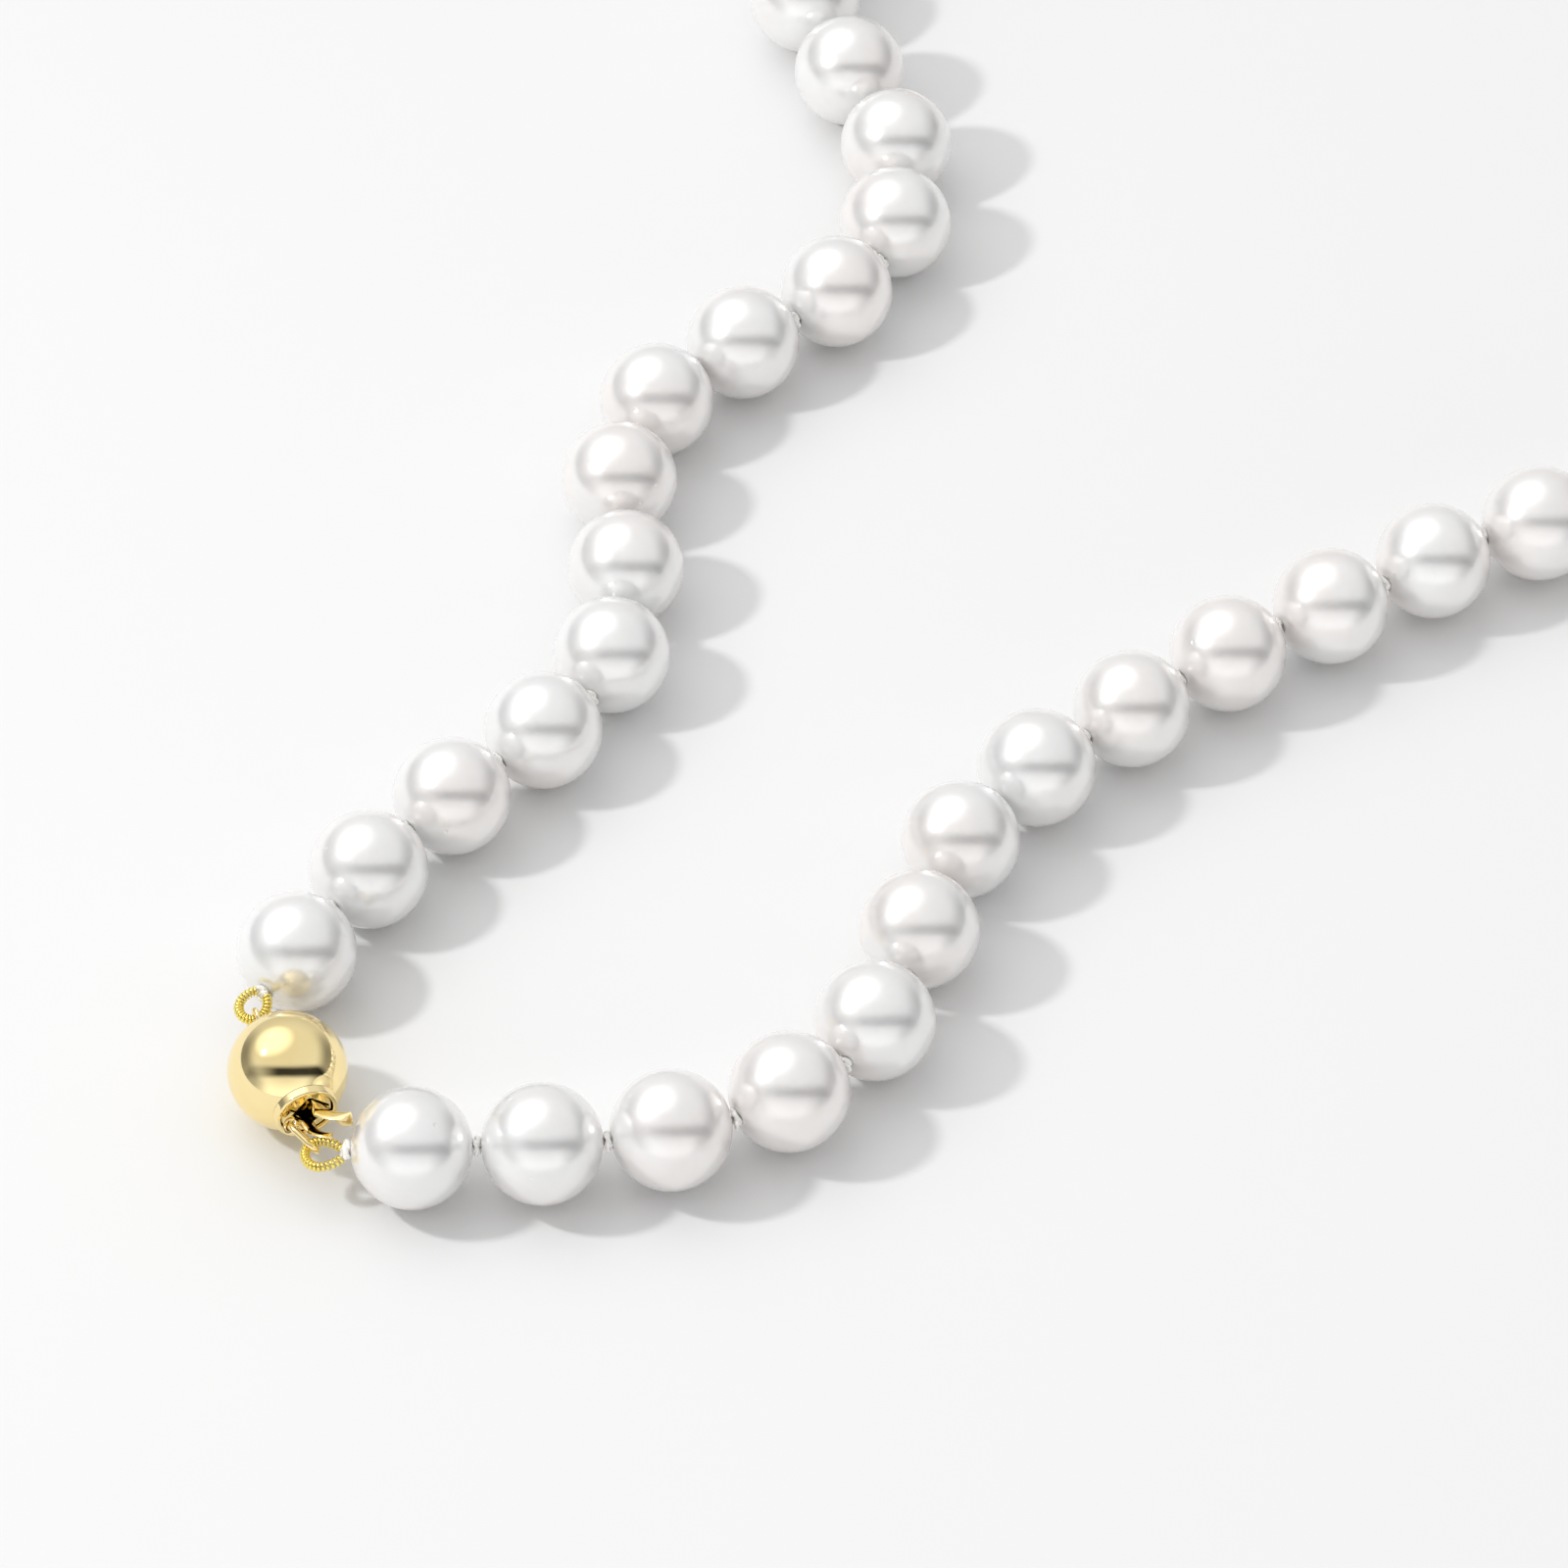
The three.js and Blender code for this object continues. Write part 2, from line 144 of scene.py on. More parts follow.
LOOP_RADIUS = 0.93
FRENCH_RADIUS = 0.36
FRENCH_WIRE = 0.11
FRENCH_TURNS = 24
FRENCH_STEPS_PER_TURN = 22
FRENCH_WIRE_SIDES = 8
FRENCH_FILL = 0.43  # half of each turn's width, over the pitch
LEFT_STRETCH = 0.40
RIGHT_STRETCH = 0.72
LOOP_OPENING = 0.36
LOOP_TILT = math.radians(12)
LEFT_LOOP = np.array([-5.9, -0.45, 0.15])
RIGHT_LOOP = np.array([7.15, -0.3, -0.45])
LEFT_EYE_PIVOT = (-5.25, -0.45)
TONGUE_ROLL = math.radians(46)
CREASE = 40  # degrees between faces, past which an edge stays sharp

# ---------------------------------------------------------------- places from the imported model

joints = {joint["name"]: joint for joint in frame["joints"]}


def unit(v):
    return v / np.linalg.norm(v)


def unit_rows(rows):
    return rows / np.linalg.norm(rows, axis=1)[:, None]


def joint_place(name):
    return np.array(joints[name]["pos_m"]) / MM


def middle_of(node):
    low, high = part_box(node)
    return (np.array(low) + np.array(high)) / (2 * MM)


CLASP_X = unit(np.array(joints["clasp_slide"]["axis"], float))
CLASP_Y = np.cross(Z, CLASP_X)
BALL = (
    joint_place("french_wire_left_turn")
    - LEFT_EYE_PIVOT[0] * CLASP_X
    - LEFT_EYE_PIVOT[1] * CLASP_Y
)
TONGUE_Y = math.cos(TONGUE_ROLL) * CLASP_Y + math.sin(TONGUE_ROLL) * Z
TONGUE_Z = math.cos(TONGUE_ROLL) * Z - math.sin(TONGUE_ROLL) * CLASP_Y
CLASP_AXES = np.array([CLASP_X, CLASP_Y, Z])
TONGUE_AXES = np.array([CLASP_X, TONGUE_Y, TONGUE_Z])


def in_clasp(points):
    return BALL + np.asarray(points, float) @ CLASP_AXES


def in_tongue(points):
    return BALL + np.asarray(points, float) @ TONGUE_AXES


# ---------------------------------------------------------------- mesh building


class Shells:
    """Closed shells of quads and fans, gathered into one mesh. Each shell is turned outward."""

    def __init__(self):
        self.points = []
        self.faces = []
        self.count = 0

    def _add(self, points, faces):
        fans = [(f[0], b, c) for f in faces for b, c in zip(f[1:-1], f[2:])]
        corners = points[np.array(fans)]
        volume = np.einsum("ij,ij->", corners[:, 0], np.cross(corners[:, 1], corners[:, 2]))
        if volume < 0:
            faces = [face[::-1] for face in faces]
        self.points.append(points)
        self.faces += [[i + self.count for i in face] for face in faces]
        self.count += len(points)
        return self

    def closed(self, rings):
        """Rings of points, joined ring to ring and round again."""
        n, m, _ = rings.shape
        faces = _quads(n, m, True)
        return self._add(rings.reshape(-1, 3), faces)

    def capped(self, rings, tips=True):
        """Rings of points, joined ring to ring, with a fan or a flat face over each end."""
        n, m, _ = rings.shape
        points = rings.reshape(-1, 3)
        faces = _quads(n, m, False)
        last = (n - 1) * m
        if tips:
            ends = np.array([rings[0].mean(0), rings[-1].mean(0)])
            points = np.vstack([points, ends])
            faces += [[(j + 1) % m, j, n * m] for j in range(m)]
            faces += [[last + j, last + (j + 1) % m, n * m + 1] for j in range(m)]
        else:
            faces.append(list(range(m))[::-1])
            faces.append(list(range(last, last + m)))
        return self._add(points, faces)

    def object(self, name, material, crease=None):
        mesh = bpy.data.meshes.new(name)
        mesh.from_pydata((np.vstack(self.points) * MM).tolist(), [], self.faces)
        mesh.validate()
        mesh.polygons.foreach_set("use_smooth", [True] * len(mesh.polygons))
        if crease is not None:
            mesh.set_sharp_from_angle(angle=math.radians(crease))
        mesh.materials.append(material)
        piece = bpy.data.objects.new(name, mesh)
        bpy.context.scene.collection.objects.link(piece)
        return piece


def _quads(n, m, wrap):
    faces = []
    for i in range(n if wrap else n - 1):
        here, there = i * m, (i + 1) % n * m
        faces += [[here + j, here + (j + 1) % m, there + (j + 1) % m, there + j] for j in range(m)]
    return faces


def tangents(path, closed):
    if closed:
        ahead, behind = np.roll(path, -1, 0), np.roll(path, 1, 0)
    else:
        ahead = np.vstack([path[1:], path[-1:]])
        behind = np.vstack([path[:1], path[:-1]])
    return unit_rows(ahead - behind)


def carried_frames(path, closed):
    """Side and lift along a path, carried without twist; a closed path's mismatch is spread out."""
    along = tangents(path, closed)
    start = np.cross(along[0], Z if abs(along[0][2]) < 0.9 else np.array([1.0, 0, 0]))
    side = [unit(start)]
    for t in along[1:]:
        s = side[-1] - np.dot(side[-1], t) * t
        side.append(unit(s))
    side = np.array(side)
    lift = np.cross(along, side)
    if closed:
        back = unit(side[-1] - np.dot(side[-1], along[0]) * along[0])
        miss = math.atan2(np.dot(back, lift[0]), np.dot(back, side[0]))
        turn = -miss * np.arange(len(path)) / len(path)
        c, s = np.cos(turn)[:, None], np.sin(turn)[:, None]
        side, lift = c * side + s * lift, c * lift - s * side
    return side, lift


def swept(path, section, closed, frames=None):
    """Rings of a section, (steps, points, 2) offsets along side and lift, carried along a path."""
    side, lift = frames or carried_frames(path, closed)
    return (
        path[:, None, :]
        + section[..., 0, None] * side[:, None, :]
        + section[..., 1, None] * lift[:, None, :]
    )


def round_section(radii, sides):
    turn = np.arange(sides) * 2 * math.pi / sides
    ring = np.stack([np.cos(turn), np.sin(turn)], -1)
    return np.asarray(radii, float)[:, None, None] * ring[None]


def plied_section(radii, sides, pitch, path, plies=3):
    """The section of a twisted strand: shallow grooves between its plies that turn along it."""
    run = np.concatenate([[0.0], np.cumsum(np.linalg.norm(np.diff(path, axis=0), axis=1))])
    turn = np.arange(sides) * 2 * math.pi / sides
    phase = plies * turn[None] - 2 * math.pi * run[:, None] / pitch
    groove = 1.0 - PLY_DEPTH * (0.5 - 0.5 * np.cos(phase)) ** 2
    radius = np.asarray(radii, float)[:, None] * groove
    return np.stack([radius * np.cos(turn), radius * np.sin(turn)], -1)


def revolved(profile, sides, origin, axis, across):
    """Rings round an axis, one per point (along, radius) of a profile, in the profile's order."""
    third = np.cross(axis, across)
    turn = np.arange(sides) * 2 * math.pi / sides
    ring = np.cos(turn)[:, None] * across + np.sin(turn)[:, None] * third
    profile = np.asarray(profile, float)
    return origin + profile[:, 0, None, None] * axis + profile[:, 1, None, None] * ring[None]


def arc(centre, radius, start, end, steps):
    """Points of an arc, angles in degrees."""
    turn = np.radians(np.linspace(start, end, steps))
    return np.stack([centre[0] + radius * np.cos(turn), centre[1] + radius * np.sin(turn)], -1)


def quadratic(a, b, c, steps):
    t = np.linspace(0, 1, steps)[:, None]
    a, b, c = (np.asarray(p, float) for p in (a, b, c))
    return (1 - t) ** 2 * a + 2 * t * (1 - t) * b + t * t * c


def smooth(x, low, high):
    t = np.clip((np.asarray(x, float) - low) / (high - low), 0, 1)
    return t * t * (3 - 2 * t)


# ---------------------------------------------------------------- materials


class Nodes:
    """A material's node tree, with short calls for the nodes that are used here."""

    def __init__(self, name):
        self.material = bpy.data.materials.new(name)
        self.material.use_nodes = True
        self.tree = self.material.node_tree
        self.shader = next(n for n in self.tree.nodes if n.type == "BSDF_PRINCIPLED")
        self.coordinates = self.add("ShaderNodeTexCoord").outputs["Object"]

    def add(self, kind, **settings):
        node = self.tree.nodes.new(kind)
        for key, value in settings.items():
            setattr(node, key, value)
        return node

    def link(self, source, target):
        self.tree.links.new(source, target)

    def fixed(self, **values):
        for key, value in values.items():
            self.shader.inputs[key.replace("_", " ")].default_value = value

    def noise(self, scale, detail=2.0, roughness=0.5, vector=None):
        node = self.add("ShaderNodeTexNoise")
        node.inputs["Scale"].default_value = scale
        node.inputs["Detail"].default_value = detail
        node.inputs["Roughness"].default_value = roughness
        self.link(vector or self.coordinates, node.inputs["Vector"])
        return node.outputs["Fac"]

    def stretched(self, scale):
        node = self.add("ShaderNodeMapping")
        node.inputs["Scale"].default_value = scale
        self.link(self.coordinates, node.inputs["Vector"])
        return node.outputs["Vector"]

    def ranged(self, value, source, target, interpolation="LINEAR"):
        node = self.add("ShaderNodeMapRange", interpolation_type=interpolation)
        self.link(value, node.inputs["Value"])
        for key, number in zip(("From Min", "From Max", "To Min", "To Max"), (*source, *target)):
            node.inputs[key].default_value = number
        return node.outputs["Result"]

    def mixed(self, factor, first, second, blend="MIX"):
        node = self.add("ShaderNodeMix", data_type="RGBA", blend_type=blend)
        if isinstance(factor, float):
            node.inputs["Factor"].default_value = factor
        else:
            self.link(factor, node.inputs["Factor"])
        for socket, value in ((node.inputs[6], first), (node.inputs[7], second)):
            if isinstance(value, tuple):
                socket.default_value = (*value, 1.0)
            else:
                self.link(value, socket)
        return node.outputs[2]

    def maths(self, operation, first, second):
        node = self.add("ShaderNodeMath", operation=operation)
        for socket, value in zip(node.inputs, (first, second)):
            if isinstance(value, (int, float)):
                socket.default_value = value
            else:
                self.link(value, socket)
        return node.outputs[0]

    def bump(self, height, distance, strength, base=None):
        node = self.add("ShaderNodeBump")
        node.inputs["Strength"].default_value = strength
        node.inputs["Distance"].default_value = distance
        self.link(height, node.inputs["Height"])
        if base is not None:
            self.link(base, node.inputs["Normal"])
        return node.outputs["Normal"]

    def cells(self, scale):
        node = self.add("ShaderNodeTexVoronoi", feature="F1")
        node.inputs["Scale"].default_value = scale
        self.link(self.coordinates, node.inputs["Vector"])
        return node


def nacre_material():
    """Nacre: a soft body colour with rosy overtones, a satiny metallic depth and a clear skin."""
    m = Nodes("nacre")
    overtone = m.ranged(m.noise(110, 1.5), (0.36, 0.64), (0.0, 1.0), "SMOOTHSTEP")
    body = m.mixed(overtone, (0.915, 0.915, 0.91), (0.925, 0.895, 0.88))
    cloud = m.ranged(m.noise(420, 3.0, 0.6), (0.35, 0.65), (0.965, 1.0))
    shade = m.add("ShaderNodeCombineColor")
    for channel in shade.inputs:
        m.link(cloud, channel)
    m.link(m.mixed(1.0, body, shade.outputs[0], "MULTIPLY"), m.shader.inputs["Base Color"])
    m.link(
        m.ranged(m.noise(900, 3.0), (0.3, 0.7), (0.20, 0.26)),
        m.shader.inputs["Roughness"],
    )
    pits = m.cells(620)
    hollow = m.ranged(pits.outputs["Distance"], (0.05, 0.12), (0.0, 1.0), "SMOOTHSTEP")
    tone = m.add("ShaderNodeSeparateColor")
    m.link(pits.outputs["Color"], tone.inputs[0])
    pitted_share = 0.16
    plain = m.maths("GREATER_THAN", tone.outputs[0], pitted_share)
    surface = m.maths("MAXIMUM", hollow, plain)
    ripple = m.bump(m.noise(1400, 3.0, 0.6), 0.00002, 0.12)
    m.link(m.bump(surface, 0.00004, 0.7, ripple), m.shader.inputs["Normal"])
    m.fixed(
        Metallic=0.44,
        Subsurface_Weight=0.45,
        Subsurface_Radius=(1.0, 0.92, 0.88),
        Subsurface_Scale=0.0018,
        IOR=1.53,
        Coat_Weight=0.35,
        Coat_Roughness=0.09,
        Coat_IOR=1.5,
        Sheen_Weight=0.06,
        Sheen_Roughness=0.4,
        Sheen_Tint=(1.0, 0.86, 0.84, 1.0),
    )
    return m.material


def gold_material(name, bright, deep, low_rough, high_rough, grain):
    """Polished yellow gold: mirror-like, with faint hairlines and a gentle unevenness."""
    m = Nodes(name)
    patch = m.ranged(m.noise(260, 2.0), (0.35, 0.65), (0.0, 1.0), "SMOOTHSTEP")
    m.link(m.mixed(patch, bright, deep), m.shader.inputs["Base Color"])
    haze = m.ranged(m.noise(700, 4.0, 0.65), (0.35, 0.7), (low_rough, high_rough))
    hairs = m.ranged(
        m.noise(1.0, 2.0, 0.5, m.stretched((5200, 260, 900))), (0.60, 0.68), (0.0, 0.05)
    )
    cross_hairs = m.ranged(
        m.noise(1.0, 2.0, 0.5, m.stretched((240, 4600, 1300))), (0.61, 0.69), (0.0, 0.05)
    )
    rough = m.maths("ADD", haze, m.maths("ADD", hairs, cross_hairs))
    m.link(rough, m.shader.inputs["Roughness"])
    m.link(m.bump(m.noise(grain, 2.0), 0.00002, 0.1), m.shader.inputs["Normal"])
    m.fixed(Metallic=1.0)
    return m.material


def silk_material():
    """Bonded bead silk: off-white, with fine fibres and a soft sheen."""
    m = Nodes("silk")
    m.shader.subsurface_method = "BURLEY"
    tone = m.noise(2600, 3.0, 0.6)
    m.link(
        m.mixed(m.ranged(tone, (0.3, 0.7), (0.0, 1.0)), (0.90, 0.89, 0.86), (0.96, 0.955, 0.94)),
        m.shader.inputs["Base Color"],
    )
    m.link(m.ranged(tone, (0.3, 0.7), (0.42, 0.62)), m.shader.inputs["Roughness"])
    fibres = m.noise(1.0, 3.0, 0.6, m.stretched((9000, 9000, 2400)))
    m.link(m.bump(fibres, 0.00003, 0.5), m.shader.inputs["Normal"])
    m.fixed(
        IOR=1.5,
        Sheen_Weight=0.5,
        Sheen_Roughness=0.35,
        Subsurface_Weight=0.6,
        Subsurface_Radius=(1.0, 0.97, 0.92),
        Subsurface_Scale=0.0009,
    )
    return m.material


nacre = nacre_material()
polished_gold = gold_material(
    "polished_gold", (1.0, 0.83, 0.44), (0.98, 0.79, 0.39), 0.05, 0.10, 900
)
french_gold = gold_material(
    "french_wire_gold", (1.0, 0.86, 0.27), (0.94, 0.76, 0.20), 0.14, 0.24, 2600
)
silk = silk_material()


def place(piece, body, slot, *nodes):
    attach(piece, body)
    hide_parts(*nodes)
    return piece


# ---------------------------------------------------------------- strand


def pearl_profile():
    """(along, radius) of a drilled pearl: over its skin, then back through the drill hole."""
    rim = DRILL_RADIUS + DRILL_CHAMFER
    edge = math.degrees(math.asin(rim / PEARL_RADIUS))
    skin = arc((0, 0), PEARL_RADIUS, 180 - edge, edge, PEARL_ROWS)
    mouth = skin[-1][0] - DRILL_CHAMFER
    hole = [[x, DRILL_RADIUS] for x in (mouth, mouth / 2, 0, -mouth / 2, -mouth)]
    return skin, np.array(hole)


SKIN, HOLE = pearl_profile()


def pearl_piece(name, seed, centre, axis):
    """A cultured pearl: very slightly out of round, with a few shallow dimples in its skin."""
    draw = random.Random(seed)
    roll = draw.uniform(0, 2 * math.pi)
    across = math.cos(roll) * Z + math.sin(roll) * np.cross(Z, axis)
    rings = revolved(np.vstack([SKIN, HOLE]), PEARL_SIDES, np.zeros(3), axis, across)
    skin = rings[: len(SKIN)]
    outward = skin / PEARL_RADIUS
    stretch = draw.uniform(-0.006, 0.004)
    swell = 1 + stretch * (outward @ axis) ** 2 + draw.uniform(-0.004, 0.003)
    offset = Vector([draw.uniform(0, 100) for _ in range(3)])
    wobble = np.array(
        [noise.noise(Vector(p) * WOBBLE_SCALE + offset) for p in outward.reshape(-1, 3)]
    ).reshape(swell.shape)
    swell = swell + SKIN_WOBBLE * wobble
    for _ in range(draw.randint(2, 5)):
        towards = unit(np.array([draw.gauss(0, 1) for _ in range(3)]))
        width = draw.uniform(0.07, 0.15)
        depth = draw.uniform(0.0015, 0.0045)
        apart = np.arccos(np.clip(outward @ towards, -1, 1))
        swell = swell - depth * np.exp(-((apart / width) ** 2))
    rings[: len(SKIN)] = skin * swell[..., None]
    return Shells().closed(centre + rings).object(name, nacre)


def knot_rings(centre, axis, seed):
    """The strand of a tight knot: a trefoil wound round the strand's axis."""
    draw = random.Random(seed)
    upward = math.cos(draw.uniform(0, KNOT_ROLL)) + 0.01
    sideways = math.sin(draw.uniform(0, KNOT_ROLL))
    across = unit(upward * Z + sideways * np.cross(Z, axis))
    third = np.cross(axis, across)
    t = np.arange(KNOT_STEPS) * 2 * math.pi / KNOT_STEPS
    out = KNOT_RING + KNOT_LOBE * np.cos(3 * t)
    wide = 1 + draw.uniform(0.0, 0.14)
    path = (
        centre
        + (out * np.cos(2 * t) * wide)[:, None] * across
        + (out * np.sin(2 * t))[:, None] * third
        + (KNOT_FLAT * np.sin(3 * t))[:, None] * axis
    )
    section = plied_section(np.full(KNOT_STEPS, KNOT_STRAND), SILK_SIDES, 0.5, path)
    return swept(path, section, True)


def thread_rings(start, end):
    """The thread from one knot through a pearl to the next, drawn thin where the knots grip it."""
    along = np.linspace(0, 1, THREAD_STEPS)
    path = start + along[:, None] * (end - start)
    length = np.linalg.norm(end - start)
    from_end = np.minimum(along, 1 - along) * length
    radii = THREAD_GRIPPED + (THREAD_RADIUS - THREAD_GRIPPED) * smooth(from_end, 0.12, 0.5)
    return swept(path, plied_section(radii, SILK_SIDES, 0.9, path), False)


def strand_side(side):
    """One half of the strand. Returns its far end's place and direction."""
    for i in range(1, PEARLS_PER_SIDE + 1):
        node = f"pearl_{side}_{i:02d}"
        centre = middle_of(node)
        inner = joint_place(f"knot_{side}_{i:02d}")
        axis = unit(centre - inner)
        outer = 2 * centre - inner
        place(pearl_piece(f"pearl_skin_{side}_{i:02d}", node, centre, axis), node, "pearl", node)
        shells = Shells().capped(thread_rings(inner, outer))
        shells.closed(knot_rings(inner, axis, "knot " + node))
        place(shells.object(f"silk_{side}_{i:02d}", silk), node, "silk", "silk_cord")
    return outer, axis


far_knot, far_axis = strand_side("left")
place(
    Shells().closed(knot_rings(far_knot, far_axis, "far knot")).object("silk_knot_far", silk),
    f"pearl_left_{PEARLS_PER_SIDE:02d}",
    "silk",
    "silk_cord",
)
strand_side("right")

# ---------------------------------------------------------------- clasp


def ball_shell():
    """The hollow ball: outer skin from the back to the mouth, a rounded lip, and the inside."""
    inner = BALL_RADIUS - BALL_WALL
    lip = math.degrees(math.asin(MOUTH_RADIUS / BALL_RADIUS))
    inner_lip = math.degrees(math.asin((MOUTH_RADIUS + 0.05) / inner))
    outside = arc((0, 0), BALL_RADIUS, 179.6, lip + 1.0, 92)
    edge = arc((0, 0), BALL_RADIUS - LIP_SOFT, lip, lip, 1)
    inside = arc((0, 0), inner, inner_lip, 179.6, 60)
    profile = np.vstack([outside, edge, inside])
    shells = Shells().capped(revolved(profile, TURNED_SIDES, BALL, CLASP_X, Z))
    return shells.object("ball_shell", polished_gold, CREASE)


def collar():
    """The raised collar: a rounded flange on the ball's mouth, and the neck inside it."""
    outer, inner = COLLAR_OUTER_SOFT, COLLAR_INNER_SOFT
    profile = np.vstack(
        [
            [[FLANGE_X - COLLAR_SKIRT, COLLAR_OUTER + 0.03]],
            arc((RIM_X - outer, COLLAR_OUTER - outer), outer, 90, 0, 10),
            arc((RIM_X - inner, COLLAR_INNER + inner), inner, 0, -90, 7),
            [[FLANGE_X, COLLAR_INNER], [FLANGE_X - NECK_DEPTH, COLLAR_INNER]],
            [[FLANGE_X - NECK_DEPTH, COLLAR_NECK], [FLANGE_X, COLLAR_NECK]],
        ]
    )
    shells = Shells().closed(revolved(profile, TURNED_SIDES, BALL, CLASP_X, Z))
    return shells.object("collar_ring", polished_gold, CREASE)


def slot_plate():
    """The recessed end plate: a disc with a window whose corners are slightly rounded."""
    count = 96
    turn = np.arange(count) * 2 * math.pi / count
    ray = np.stack([np.cos(turn), np.sin(turn)], -1)
    half = np.array([WINDOW_HEIGHT, WINDOW_WIDTH]) / 2
    reach = (np.abs(ray / half) ** WINDOW_SQUARENESS).sum(-1) ** (-1 / WINDOW_SQUARENESS)
    window = ray * reach[:, None] + [0, WINDOW_SHIFT]
    bevels = [
        (0, PLATE_BEVEL),
        (PLATE_BEVEL, 0),
        (PLATE_THICKNESS - PLATE_BEVEL, 0),
        (PLATE_THICKNESS, PLATE_BEVEL),
    ]
    stations = [(depth, ray * (PLATE_RADIUS - inset)) for depth, inset in bevels]
    stations += [(depth, window + ray * inset) for depth, inset in bevels[::-1]]
    front = RIM_X - PLATE_RECESS
    rings = np.stack(
        [
            in_tongue(np.column_stack([np.full(count, front - depth), loop]))
            for depth, loop in stations
        ]
    )
    return Shells().closed(rings).object("slot_plate", polished_gold, CREASE)


def leaf_section(half_width, thickness, cup, flat_steps=11, edge_steps=6):
    """A strip's section, (across, up), with round edges. A positive cup lifts both edges."""
    soft = min(thickness, half_width * 1.9) / 2
    flat = half_width - soft
    top = np.stack([np.linspace(-flat, flat, flat_steps), np.full(flat_steps, thickness / 2)], -1)
    turn = np.radians(np.linspace(90, -90, edge_steps + 2)[1:-1])
    right = np.stack([flat + soft * np.cos(turn), thickness / 2 * np.sin(turn)], -1)
    ring = np.vstack([top, right, -top, -right])
    ring[:, 1] += cup * (ring[:, 0] / max(half_width, 1e-6)) ** 2
    return ring


def leaf_rings(line, low, high, thickness, cup):
    """Rings of a leaf along its side line (x, height) with its edges between low and high."""
    path = np.column_stack([line, (low + high) / 2])
    flat_path = np.column_stack([line, np.zeros(len(line))])
    along = tangents(flat_path, False)
    across = np.array([0.0, 0.0, 1.0])
    up = np.cross(across, along)
    rings = []
    for p, u, a, b, t, c in zip(path, up, low, high, thickness, cup):
        section = leaf_section((b - a) / 2, t, c)
        rings.append(p + section[:, :1] * across + section[:, 1:] * u)
    return in_tongue(np.array(rings))


def petal_edges(x, centre, reach, half, shift):
    """The low and high edges of a leaf: a straight strip that widens into a round petal."""
    low_strip = WINDOW_SHIFT - LEAF_HALF_WIDTH
    high_strip = WINDOW_SHIFT + LEAF_HALF_WIDTH
    blend = smooth(x, PETAL_START, centre)
    round_off = np.sqrt(np.clip(1 - (np.clip(x - centre, 0, None) / reach) ** 2, 0.0025, 1))
    low = (1 - blend) * low_strip + blend * (shift - half * round_off)
    high = (1 - blend) * high_strip + blend * (shift + half * round_off)
    return low, high


def dense_tip(line, steps):
    """The line again, with its points crowded towards its end so that the petal's tip is round."""
    run = np.concatenate([[0.0], np.cumsum(np.linalg.norm(np.diff(line, axis=0), axis=1))])
    at = run[-1] * np.sin(np.linspace(0, math.pi / 2, steps))
    return np.column_stack([np.interp(at, run, line[:, k]) for k in (0, 1)])


def tongue_body():
    """The fixed leaf with its fold, its petal, and the lug that holds the wire ring."""
    fold = arc((FOLD_X, FOLD_MIDDLE), FOLD_LINE_RADIUS, 90, 270, 15)
    flat_x = np.linspace(FOLD_X, PETAL_START, 16)[1:]
    flat = np.column_stack([flat_x, np.full(len(flat_x), FIXED_HEIGHT)])
    petal = quadratic((PETAL_START, FIXED_HEIGHT), (5.25, FIXED_HEIGHT), FIXED_TIP, 24)[1:]
    line = np.vstack([fold, flat, dense_tip(petal, 34)])
    low, high = petal_edges(line[:, 0], *FIXED_PLAN)
    thickness = LEAF_THICKNESS * (1 - TIP_THINNING * smooth(line[:, 0], PETAL_START, 6.35))
    cup = FIXED_CUP * smooth(line[:, 0], PETAL_START, 5.2)
    shells = Shells().capped(leaf_rings(line, low, high, thickness, cup))

    soft = LUG_SOFT
    inner, outer, half = LUG_HOLE_RADIUS, LUG_RADIUS, LUG_HALF_THICKNESS
    profile = np.vstack(
        [
            arc((half - soft, outer - soft), soft, 90, 0, 5),
            arc((half - soft, inner + soft), soft, 0, -90, 5),
            arc((-half + soft, inner + soft), soft, 270, 180, 5),
            arc((-half + soft, outer - soft), soft, 180, 90, 5),
        ]
    )
    shells.closed(revolved(profile, 48, in_tongue(LUG_HOLE), TONGUE_Z, TONGUE_Y))

    arm_start, arm_bend = (0.1, FIXED_HEIGHT), (0.75, FIXED_HEIGHT)
    arm_line = quadratic(arm_start, arm_bend, (1.2, FIXED_HEIGHT - 0.05), ARM_STEPS)
    arm_path = np.column_stack([np.full(ARM_STEPS, ARM_X), arm_line[:, 1], arm_line[:, 0]])
    side = np.tile([1.0, 0.0, 0.0], (ARM_STEPS, 1))
    lift = np.cross(tangents(arm_path, False), side)
    arm_section = leaf_section(ARM_HALF_WIDTH, ARM_THICKNESS, 0.0, 7)
    section = np.tile(arm_section, (ARM_STEPS, 1, 1))
    shells.capped(in_tongue(swept(arm_path, section, False, (side, lift))), tips=False)
    return shells.object("tongue_leaf", polished_gold, CREASE)


def spring_leaf():
    """The spring leaf: it rises from the fold through the window and flares as a thumb tab."""
    rise = quadratic(SPRING_START, (0.8, 0.48), SPRING_WINDOW, 30)
    flare = quadratic(SPRING_WINDOW, (5.4, 1.5), THUMB_TIP, 30)[1:]
    line = np.vstack([rise, dense_tip(flare, 40)])
    low, high = petal_edges(line[:, 0], *THUMB_PLAN)
    thickness = LEAF_THICKNESS * (1 - TIP_THINNING * smooth(line[:, 0], PETAL_START, 6.6))
    cup = THUMB_CUP * smooth(line[:, 0], PETAL_START - 0.1, 5.5)
    shells = Shells().capped(leaf_rings(line, low, high, thickness, cup))
    return shells.object("thumb_leaf", polished_gold, CREASE)


